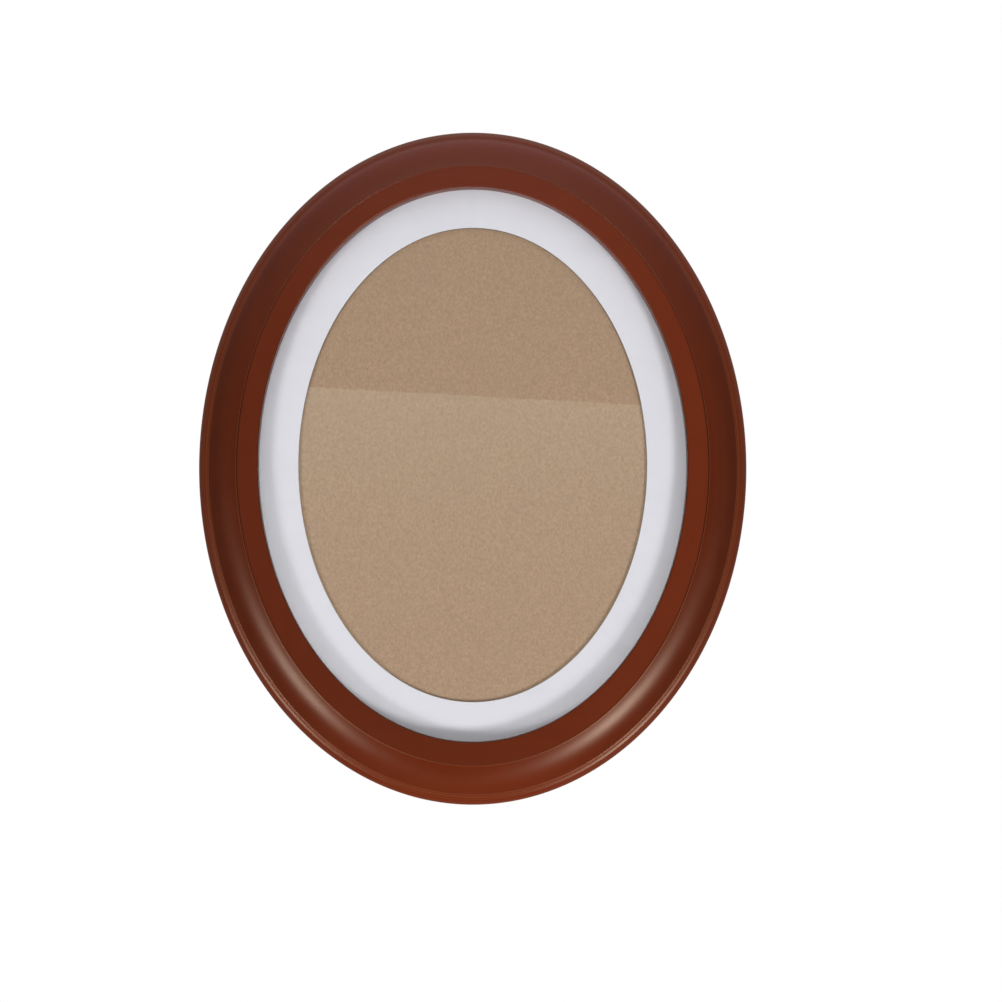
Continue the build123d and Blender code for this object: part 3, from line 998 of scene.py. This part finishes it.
def remap(tree, value, low, high, new_low=0.0, new_high=1.0):
    """The value stretched from one range to another and held inside it."""
    made = node(tree, "ShaderNodeMapRange")
    link(tree, value, made.inputs["Value"])
    for name, number in {"From Min": low, "From Max": high, "To Min": new_low, "To Max": new_high}.items():
        made.inputs[name].default_value = number
    return made.outputs[0]


# %% [markdown]
# Wood shows its grain as streaks, broad ones with fine ones between them, and as short dark pores. Both
# are noise pulled out along the grain, the streaks the further.

# %% Grain: streaks along the grain, and short dark pores
grain, given, result = effect("grain", {"Fineness": 900.0}, ["Streaks", "Pores"])
vector, fineness = given.outputs[:2]
along = stretched(grain, vector, (0.045, 1.0, 1.0))
broad = noise(grain, along, times(grain, fineness, 0.22), 3.0, 0.55, 0.3)
fine = noise(grain, along, fineness, 4.0, 0.6)
mixed = times(grain, broad, 0.6, times(grain, fine, 0.4))
link(grain, remap(grain, mixed, 0.3, 0.7), result.inputs["Streaks"])
pore = noise(grain, stretched(grain, vector, (0.09, 1.0, 1.0)), times(grain, fineness, 3.0), 1.0)
link(grain, remap(grain, pore, 0.66, 0.74), result.inputs["Pores"])
print("nodes of the grain:", len(grain.nodes))

# %% [markdown]
# Bark in fibreboard, the tooth of paper and dust on rubber are all small spots. Only the peaks of a noise
# rise above the chosen rarity, and a steep step gives them their edges.

# %% Specks: scattered small spots
specks, given, result = effect("specks", {"Fineness": 1500.0, "Rarity": 0.62}, ["Mask"])
vector, fineness, rarity = given.outputs[:3]
above = maths(specks, "SUBTRACT", noise(specks, vector, fineness, 1.5), rarity)
link(specks, times(specks, above, 14.0, clamp=True), result.inputs["Mask"])
print("nodes of the specks:", len(specks.nodes))

# %% [markdown]
# No surface is quite even: rags, rollers and plating baths leave broad soft patches, and hands and cloths
# leave fine scuffs. The patches are plain noise, and the scuffs are a much finer one pulled out one way.

# %% Handling: broad soft unevenness, and fine scuffs
handling, given, result = effect("handling", {"Fineness": 60.0}, ["Uneven", "Scuffs"])
vector, fineness = given.outputs[:2]
patches = noise(handling, vector, fineness, 3.0, 0.6)
link(handling, remap(handling, patches, 0.3, 0.7), result.inputs["Uneven"])
scuff = noise(handling, stretched(handling, vector, (1.0, 1.0, 0.12)), times(handling, fineness, 40.0), 2.0)
link(handling, remap(handling, scuff, 0.6, 0.72), result.inputs["Scuffs"])
print("effects:", [g.name for g in bpy.data.node_groups])

# %% [markdown]
# ## Materials
# Each finish starts from an opened material, whose vector is in metres and turned so that x runs along the
# grain. More helpers place an effect, blend two colours, read a mark that a mesh carries, and give the
# shader its colour, its roughness and its bump.

# %% Helpers for materials
def use(tree, group, vector, **values):
    """Places an effect in a material with its own values."""
    made = node(tree, "ShaderNodeGroup", node_tree=group)
    link(tree, vector, made.inputs["Vector"])
    for name, value in values.items():
        made.inputs[name].default_value = value
    return made.outputs


def blend_colours(tree, share, first, second):
    """A colour between two, by a share. Each colour is a tuple or a socket."""
    made = node(tree, "ShaderNodeMix", data_type="RGBA")
    for place, value in ((0, share), (6, first), (7, second)):
        give(tree, value, made.inputs[place])
    return made.outputs[2]


def mark(tree, name):
    """The value of a mark at the surface."""
    return node(tree, "ShaderNodeAttribute", attribute_name=name).outputs["Fac"]


def surface(tree, shader, colour, roughness, height, strength, depth):
    """Gives the shader its colour, its roughness, a number or a socket, and a bump of this height and
    depth."""
    link(tree, colour, shader.inputs["Base Color"])
    give(tree, roughness, shader.inputs["Roughness"])
    bump = node(tree, "ShaderNodeBump")
    for name, value in {"Strength": strength, "Distance": depth, "Height": height}.items():
        give(tree, value, bump.inputs[name])
    link(tree, bump.outputs[0], shader.inputs["Normal"])


def coat(pieces, material):
    """Gives each piece this material alone."""
    for piece in pieces:
        piece.data.materials.clear()
        piece.data.materials.append(material)
    print(material.name, "on pieces:", len(pieces))


# %% [markdown]
# ### Stained wood
# The wood is a smooth, close-grained one under a red-brown stain and a satin lacquer. The stain lies
# deeper in the cove at the sides, where the cutter opened the grain, and is rubbed thin on the crisp
# edges. Back and rabbet are only wiped with what was left on the rag. So the colour starts between a deep
# and a thin stain, pores and rubbed edges are laid over it, and then painted light and shade: a
# highlight on the crisp edges, a pale sheen on the top and dark shade beside the glass, each by its own
# mark.

# %% Stained and lacquered wood
DEEP_STAIN, THIN_STAIN = (0.062, 0.0070, 0.0003), (0.186, 0.0210, 0.0010)
# The second colour is that of the rubbed corners and of their painted highlight.
PORE, RUBBED_AND_LIT = (0.055, 0.009, 0.002), (0.28, 0.09, 0.03)
# The colours of the painted sheen on the top and of the painted shade beside the glass.
TOP_SHEEN_COLOUR, PAINTED_SHADE_COLOUR = (0.42, 0.40, 0.47), (0.030, 0.0030, 0.0002)
WIPED_DARK, WIPED_PALE = (0.20, 0.085, 0.035), (0.31, 0.15, 0.07)
SATIN, BARE = 0.335, 0.685  # roughness of the lacquer and of bare wood


def stained_wood(name, turn):
    """Red-brown stain, deeper or thinner by its mark, with faint streaks and pores, under satin lacquer.
    The back and the rabbet are stained thinly and have no lacquer."""
    gloss = {"Specular_IOR_Level": 0.52, "Specular_Tint": (1.0, 0.79, 0.61, 1)}
    made, tree, shader, vector = open_material(name, turn, **gloss)
    pattern, wear = use(tree, grain, vector), use(tree, handling, vector)
    tone = times(tree, pattern["Streaks"], 0.08, mark(tree, "wood_tone"))
    tone = times(tree, wear["Uneven"], 0.05, maths(tree, "ADD", tone, -0.065))
    stain = blend_colours(tree, tone, DEEP_STAIN, THIN_STAIN)
    stain = blend_colours(tree, times(tree, pattern["Pores"], 0.2), stain, PORE)
    # The rubbed mark lightens the eased corners, as wear and as a painted highlight strongest towards the
    # bottom.
    stain = blend_colours(tree, times(tree, mark(tree, "rubbed_and_highlit"), 0.4), stain, RUBBED_AND_LIT)
    # A painted reflection: a pale blue-white sheen on the frame's top.
    stain = blend_colours(tree, mark(tree, "painted_top_sheen"), stain, TOP_SHEEN_COLOUR)
    # Painted shade: near black on the wall above the glass and in the foot of the small step.
    stain = blend_colours(tree, mark(tree, "painted_shade"), stain, PAINTED_SHADE_COLOUR)
    wiped = blend_colours(tree, pattern["Streaks"], WIPED_DARK, WIPED_PALE)
    lacquer = mark(tree, "lacquered")
    roughness = times(tree, wear["Uneven"], 0.03, between(tree, lacquer, BARE, SATIN))
    relief = times(tree, pattern["Pores"], -0.6, pattern["Streaks"])
    surface(tree, shader, blend_colours(tree, lacquer, wiped, stain), roughness, relief, 0.04, 0.03 * MM)
    return made


level_wood = stained_wood("stained wood, level grain", (0, 0, 0))
upright_wood = stained_wood("stained wood, upright grain", (0, pi / 2, 0))
coat([segments["top"], segments["bottom"]], level_wood)
coat([segments["left"], segments["right"]], upright_wood)

# %% [markdown]
# ### Plain wood
# The splines are left as they were planed. Nobody sees them once the joints are glued, so they only get
# pale streaks along their length.

# %% Plain wood of the splines
plain_wood, tree, shader, vector = open_material("plain spline wood", (0, pi / 4, 0), Specular_IOR_Level=0.4)
streaks = use(tree, grain, vector, Fineness=700.0)["Streaks"]
colour = blend_colours(tree, streaks, (0.42, 0.25, 0.12), (0.56, 0.37, 0.2))
surface(tree, shader, colour, remap(tree, streaks, 0, 1, 0.62, 0.75), streaks, 0.2, 0.05 * MM)
coat([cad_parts[f"spline_{corner}"] for corner in JOINT_TURNS], plain_wood)

# %% [markdown]
# ### Glass
# Glass mirrors a little and lets the rest through. Light for the mat behind it has to pass too, and a path
# tracer finds that light only by chance when it bends, so rays from lamps and between matt surfaces meet a
# plain transparent shader instead.

# %% Glass
clear_glass, tree, shader, _ = open_material(
    "clear glass", Base_Color=(0.975, 0.985, 0.98, 1), IOR=1.5, Transmission_Weight=1.0, Roughness=0.0
)
through = rays(tree, "Shadow", "Diffuse")
clear = node(tree, "ShaderNodeBsdfTransparent")
clear.inputs["Color"].default_value = (0.95, 0.955, 0.955, 1)
either = node(tree, "ShaderNodeMixShader")
for place, source in enumerate((through, shader.outputs[0], clear.outputs[0])):
    link(tree, source, either.inputs[place])
link(tree, either.outputs[0], tree.nodes["Material Output"].inputs["Surface"])
coat([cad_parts["glass_pane"]], clear_glass)

# %% [markdown]
# ### Mat board
# The mat's face is a smooth white paper with the faintest tooth and cloudiness, and it is a little blue,
# as bleached paper is. Where it is cut, the core shows: grey-brown pulp with pale and dark fibres.

# %% Mat: white paper and grey-brown core
paper, tree, shader, vector = open_material("white mat paper", Specular_IOR_Level=0.25)
tooth = use(tree, specks, vector, Fineness=5200.0, Rarity=0.5)["Mask"]
cloud = times(tree, use(tree, handling, vector, Fineness=35.0)["Uneven"], 0.25)
colour = blend_colours(tree, tooth, (0.854, 0.838, 0.892), (0.840, 0.824, 0.880))
colour = blend_colours(tree, cloud, colour, (0.836, 0.822, 0.878))
surface(tree, shader, colour, 0.85, tooth, 0.15, 0.03 * MM)
core, tree, shader, vector = open_material("mat core", Roughness=0.95, Specular_IOR_Level=0.2)
fibres = use(tree, specks, vector, Fineness=4200.0, Rarity=0.5)["Mask"]
colour = blend_colours(tree, fibres, (0.20, 0.165, 0.135), (0.31, 0.26, 0.21))
link(tree, colour, shader.inputs["Base Color"])
coat([mat_piece], paper)
mat_piece.data.materials.append(core)
mat_piece.data.polygons.foreach_set("material_index", cut_faces.astype(np.int32))
print("mat:", [m.name for m in mat_piece.data.materials])

# %% [markdown]
# ### Fibreboard
# The backing board is pressed from brown wood fibres. From a little way off it is an even tan with a fine
# felted mottle, and here and there a darker speck of bark.

# %% Fibreboard
fibreboard, tree, shader, vector = open_material("bare fibreboard", Specular_IOR_Level=0.3)
matted = stretched(tree, vector, (1.0, 1.0, 0.7))
felt = noise(tree, matted, 1050.0, 3.0, 0.6)
cloud = times(tree, use(tree, handling, vector, Fineness=55.0)["Uneven"], 0.22)
bark = times(tree, use(tree, specks, matted, Fineness=1700.0, Rarity=0.66)["Mask"], 0.5)
colour = blend_colours(tree, remap(tree, felt, 0.3, 0.7), (0.391, 0.2535, 0.159), (0.539, 0.361, 0.236))
colour = blend_colours(tree, cloud, colour, (0.426, 0.286, 0.190))
colour = blend_colours(tree, bark, colour, (0.24, 0.135, 0.083))
surface(tree, shader, colour, remap(tree, felt, 0.3, 0.7, 0.72, 0.85), felt, 0.25, 0.05 * MM)
coat([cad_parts["backing_board"]], fibreboard)

# %% [markdown]
# ### Plated metal
# The buttons and their screws are zinc plated, the hanger, its ring and its screws brass plated. Plate
# dries in patches of two tones and wears bright on the edges, and the screws' recesses get painted shade.
# Both are one recipe with other colours.

# %% Zinc plate and brass plate
def plated(name, dull, bright, roughness):
    """Plated metal: patches of two tones, brighter on worn edges, painted shade in the recesses of the
    screws, and fine scuffs in the gloss."""
    made, tree, shader, vector = open_material(name, Metallic=1.0)
    wear = use(tree, handling, vector, Fineness=420.0)
    colour = blend_colours(tree, wear["Uneven"], dull, bright)
    worn, recess_shade = times(tree, mark(tree, "rubbed_and_highlit"), 0.6), times(tree, mark(tree, "sunk"), 0.8)
    colour = blend_colours(tree, worn, colour, tuple(1.15 * c for c in bright))
    # Painted shade: the screws' recesses are darkened to 0.12 times the dull tone.
    colour = blend_colours(tree, recess_shade, colour, tuple(0.12 * c for c in dull))
    gloss = times(tree, wear["Scuffs"], 0.12, times(tree, wear["Uneven"], 0.1, roughness))
    surface(tree, shader, colour, gloss, wear["Scuffs"], 0.1, 0.02 * MM)
    return made


zinc = plated("zinc plate", (0.50, 0.52, 0.54), (0.66, 0.68, 0.70), 0.3)
brass = plated("brass plate", (0.60, 0.42, 0.17), (0.76, 0.56, 0.26), 0.24)
coat([*buttons, button_screw_piece], zinc)
coat([hanger_piece, hanger_screw_piece, ring_piece], brass)

# %% [markdown]
# ### Rubber
# The bumpers are matt black rubber, a little uneven from the mould, with pale dust that clings to it.

# %% Rubber
rubber, tree, shader, vector = open_material("black rubber", Specular_IOR_Level=0.35)
dust = times(tree, use(tree, specks, vector, Fineness=2600.0, Rarity=0.6)["Mask"], 0.25)
cloud = use(tree, handling, vector, Fineness=300.0)["Uneven"]
colour = blend_colours(tree, cloud, (0.014, 0.014, 0.015), (0.022, 0.022, 0.023))
colour = blend_colours(tree, dust, colour, (0.09, 0.088, 0.085))
surface(tree, shader, colour, remap(tree, cloud, 0, 1, 0.55, 0.7), cloud, 0.15, 0.04 * MM)
coat(bumpers, rubber)
print("materials:", len(bpy.data.materials))
